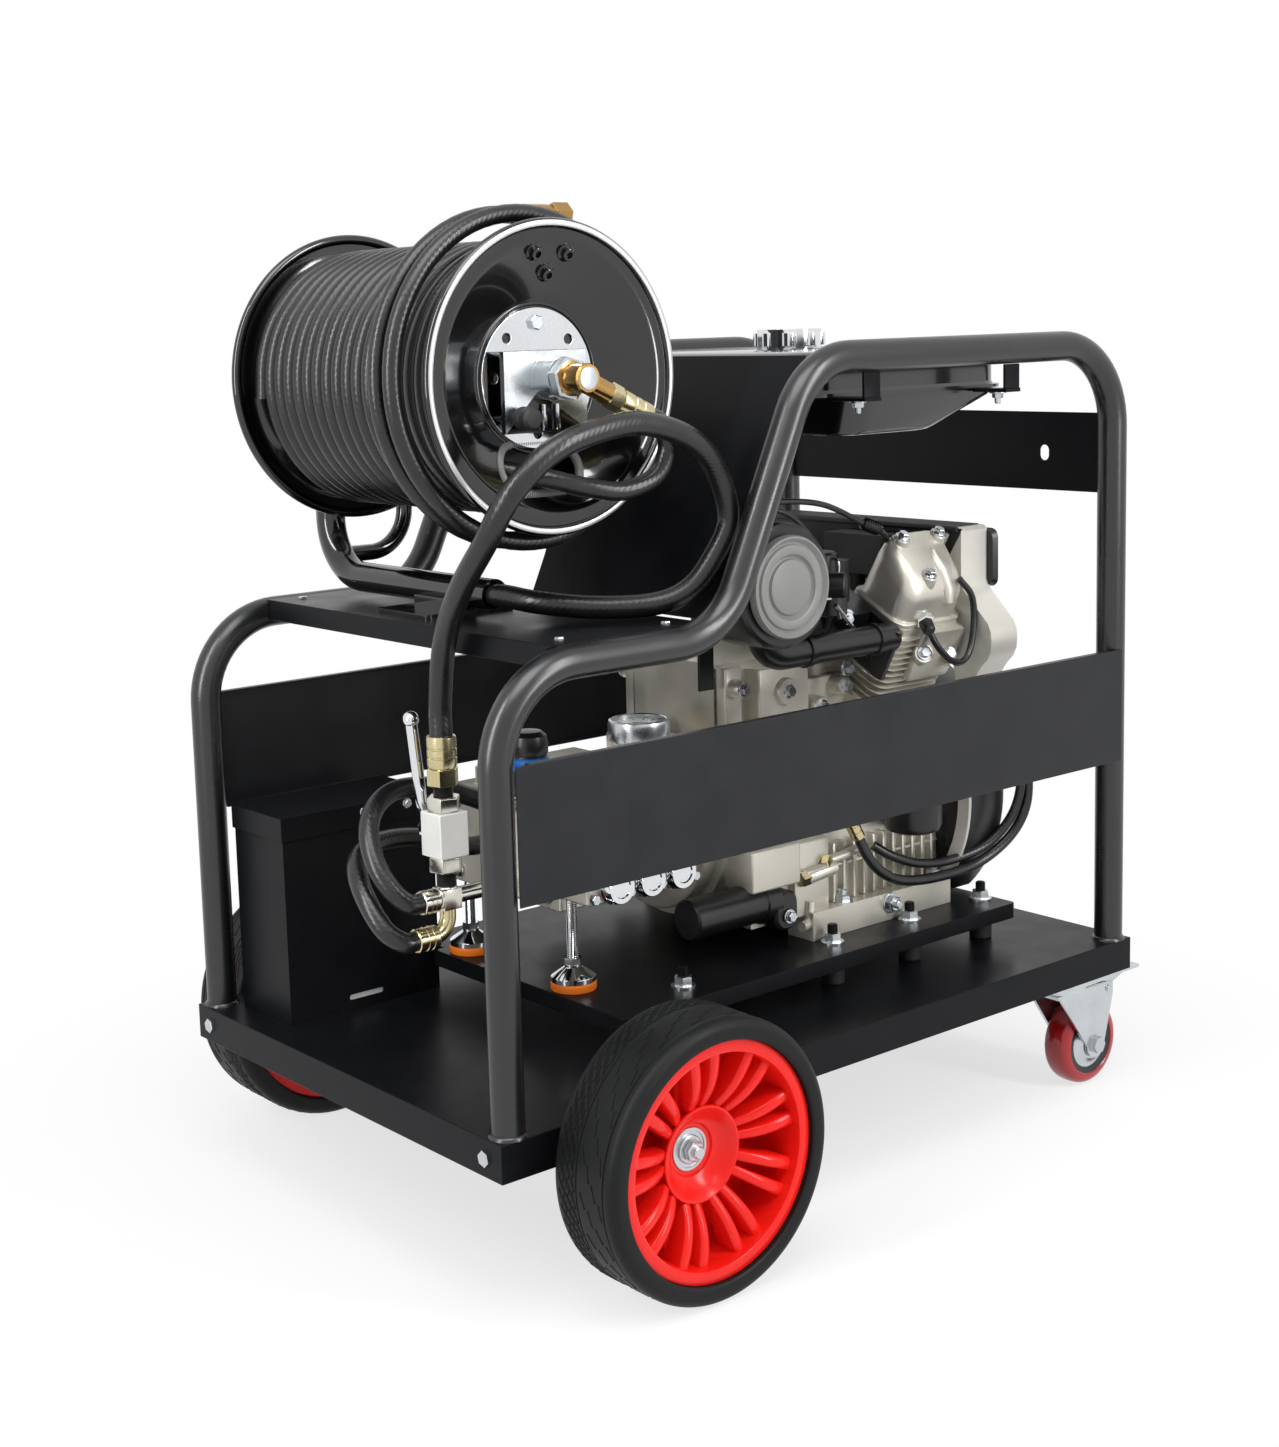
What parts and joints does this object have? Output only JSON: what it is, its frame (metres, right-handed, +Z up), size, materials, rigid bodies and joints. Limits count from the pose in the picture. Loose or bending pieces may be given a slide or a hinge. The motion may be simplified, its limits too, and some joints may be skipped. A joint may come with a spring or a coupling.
{
  "type": "drain jetter",
  "caption": "Wheeled petrol drain jetter: tube-framed cart with a V-twin engine, plunger pump and hose reel on a front shelf.",
  "frame": {"origin": "on the floor under the middle of the machine, measured without its hoses", "axes": "+X to the rear (caster end), +Y to the right side, +Z up"},
  "size_m": [0.97, 0.738, 1.0146],
  "materials": {
    "powder_black": "satin powder coat",
    "gloss_black": "gloss paint",
    "zinc": "bright zinc plate",
    "chrome": "polished chrome plate",
    "brass": "machined",
    "casting": "as cast",
    "red_nylon": "moulded, glossy",
    "red_tread": "cast polyurethane",
    "tyre": "moulded rubber",
    "hose_rubber": "wrapped rubber cover",
    "mount_rubber": "moulded",
    "black_plastic": "moulded",
    "grey_plastic": "moulded",
    "tank_plastic": "gloss; stands for the tank with its fuel",
    "blue_plastic": "moulded"
  },
  "bodies": {
    "chassis": {"base_tray": "powder_black", "left_side_frame": "powder_black", "right_side_frame": "powder_black", "left_side_panel": "powder_black", "right_side_panel": "powder_black", "rear_panel": "powder_black", "reel_shelf": "powder_black", "console": "powder_black", "front_axle": "zinc", "sub_base": "powder_black", "rubber_mounts": "mount_rubber", "chassis_bolts": "zinc", "battery_box": "powder_black", "battery_box_lid": "powder_black", "battery": "black_plastic", "caster_plates": "zinc", "reel_stand": "gloss_black", "reel_shaft": "zinc", "valve_body": "zinc", "valve_fittings": "brass", "pump_hoses": "hose_rubber", "supply_hose": "hose_rubber", "engine_crankcase": "casting", "engine_cylinders": "casting", "cylinder_heads": "casting", "valve_covers": "casting", "air_cleaner": "black_plastic", "air_cleaner_cap": "grey_plastic", "muffler": "gloss_black", "fan_housing": "black_plastic", "fuel_tank": "tank_plastic", "tank_brackets": "powder_black", "pump_crankcase": "casting", "pump_manifold": "casting", "manifold_caps": "chrome", "levelling_feet": "chrome", "pressure_regulator": "casting", "pressure_gauge": "zinc"},
    "left_wheel": {"left_wheel_rim": "red_nylon", "left_wheel_tyre": "tyre"},
    "right_wheel": {"right_wheel_rim": "red_nylon", "right_wheel_tyre": "tyre"},
    "left_caster": {"left_caster_fork": "zinc"},
    "left_caster_roller": {"left_caster_wheel": "red_tread"},
    "left_brake": {"left_brake_pedal": "zinc"},
    "right_caster": {"right_caster_fork": "zinc"},
    "right_caster_roller": {"right_caster_wheel": "red_tread"},
    "right_brake": {"right_brake_pedal": "zinc"},
    "reel": {"reel_drum": "gloss_black", "reel_flanges": "gloss_black", "hub_plate": "chrome", "wound_hose": "hose_rubber", "hose_core": "hose_rubber", "jumper_hose": "hose_rubber", "reel_fittings": "brass"},
    "reel_lock": {"reel_lock_knob": "black_plastic"},
    "outlet_valve": {"valve_lever": "chrome"},
    "regulator_screw": {"regulator_knob": "blue_plastic"},
    "filler_cap": {"fuel_cap": "chrome"},
    "crank": {"drive_shaft": "zinc"}
  },
  "joints": [
    {"name": "left_wheel_spin", "type": "hinge", "parent": "chassis", "child": "left_wheel", "pos_m": [-0.296, -0.326, 0.135], "axis": [0, 1, 0], "continuous": true},
    {"name": "right_wheel_spin", "type": "hinge", "parent": "chassis", "child": "right_wheel", "pos_m": [-0.296, 0.326, 0.135], "axis": [0, 1, 0], "continuous": true},
    {"name": "reel_spin", "type": "hinge", "parent": "chassis", "child": "reel", "pos_m": [-0.31, 0, 0.849], "axis": [0, 1, 0], "continuous": true},
    {"name": "left_caster_swivel", "type": "hinge", "parent": "chassis", "child": "left_caster", "pos_m": [0.357, -0.232, 0.127], "axis": [0, 0, 1], "continuous": true},
    {"name": "left_caster_spin", "type": "hinge", "parent": "left_caster", "child": "left_caster_roller", "pos_m": [0.397, -0.232, 0.05], "axis": [0, 1, 0], "continuous": true},
    {"name": "left_brake_press", "type": "hinge", "parent": "left_caster", "child": "left_brake", "pos_m": [0.419, -0.232, 0.1127], "axis": [0, 1, 0], "range_deg": [0, 12]},
    {"name": "right_caster_swivel", "type": "hinge", "parent": "chassis", "child": "right_caster", "pos_m": [0.357, 0.232, 0.127], "axis": [0, 0, 1], "continuous": true},
    {"name": "right_caster_spin", "type": "hinge", "parent": "right_caster", "child": "right_caster_roller", "pos_m": [0.397, 0.232, 0.05], "axis": [0, 1, 0], "continuous": true},
    {"name": "right_brake_press", "type": "hinge", "parent": "right_caster", "child": "right_brake", "pos_m": [0.419, 0.232, 0.1127], "axis": [0, 1, 0], "range_deg": [0, 12]},
    {"name": "reel_lock_push", "type": "slide", "parent": "chassis", "child": "reel_lock", "axis": [0, 1, 0], "range_m": [0, 0.004]},
    {"name": "valve_turn", "type": "hinge", "parent": "chassis", "child": "outlet_valve", "pos_m": [-0.4, -0.092, 0.416], "axis": [0, 1, 0], "range_deg": [0, 90]},
    {"name": "regulator_turn", "type": "hinge", "parent": "chassis", "child": "regulator_screw", "pos_m": [-0.305, -0.105, 0.47], "axis": [0, 0, 1], "range_deg": [0, 270]},
    {"name": "filler_cap_turn", "type": "hinge", "parent": "chassis", "child": "filler_cap", "pos_m": [0.131, -0.035, 0.873], "axis": [0, 0, 1], "range_deg": [0, 90]},
    {"name": "crank_spin", "type": "hinge", "parent": "chassis", "child": "crank", "pos_m": [0, 0, 0.345], "axis": [1, 0, 0], "continuous": true}
  ]
}
